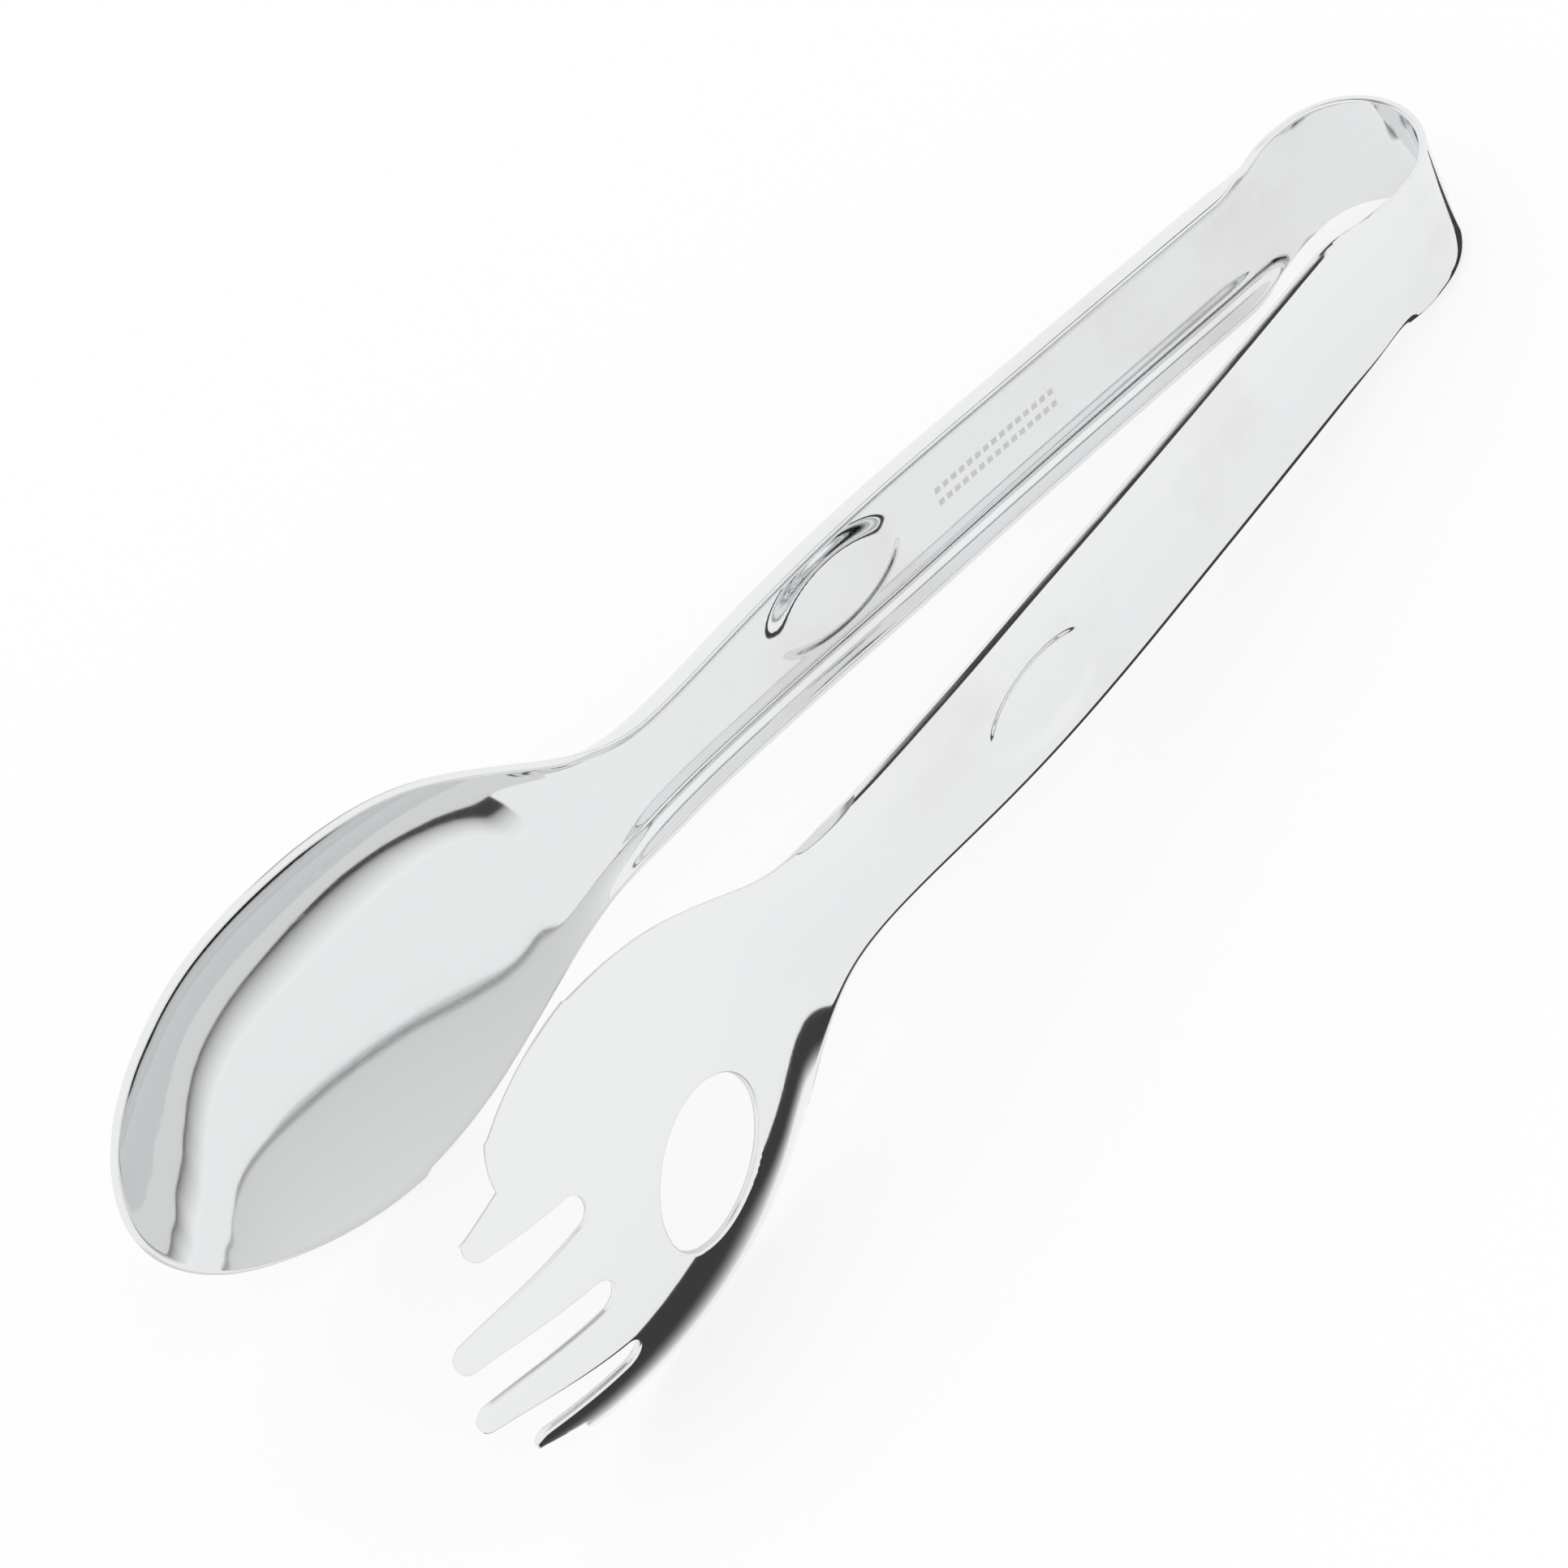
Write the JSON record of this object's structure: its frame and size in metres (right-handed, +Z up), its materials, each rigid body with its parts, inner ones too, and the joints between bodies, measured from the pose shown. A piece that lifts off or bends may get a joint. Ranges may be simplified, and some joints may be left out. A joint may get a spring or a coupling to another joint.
{
  "type": "salad tongs",
  "caption": "Sprung serving tongs in polished steel sheet, with a spoon head, a slotted fork head with a window, channel handles and thumb dimples.",
  "frame": {"origin": "centre of the bounding box at the floor the tongs lie on", "axes": "+Z up; +X from the heads to the bow; +Y from the fork arm to the spoon arm; the tongs lie on the lower edges of both heads and of the bow"},
  "size_m": [0.233, 0.0782, 0.0669],
  "materials": {
    "steel": "mirror polished"
  },
  "bodies": {
    "bow": {"spring_bow": "steel"},
    "spoon_arm": {"spoon_leg": "steel", "spoon_handle": "steel", "spoon_bowl": "steel"},
    "fork_arm": {"fork_leg": "steel", "fork_handle": "steel", "fork_head": "steel"}
  },
  "joints": [
    {"name": "spoon_flex", "type": "hinge", "parent": "bow", "child": "spoon_arm", "pos_m": [0.11145, 0.00799, 0.01025], "axis": [0.1234, 0, 0.9924], "range_deg": [-4, 7], "stiffness_Nm_per_rad": 5},
    {"name": "fork_flex", "type": "hinge", "parent": "bow", "child": "fork_arm", "pos_m": [0.11145, -0.00799, 0.01025], "axis": [-0.1234, 0, -0.9924], "range_deg": [-4, 7], "stiffness_Nm_per_rad": 5}
  ],
  "couplings": [
    {"joint": "fork_flex", "follows": "spoon_flex", "ratio": 1}
  ]
}
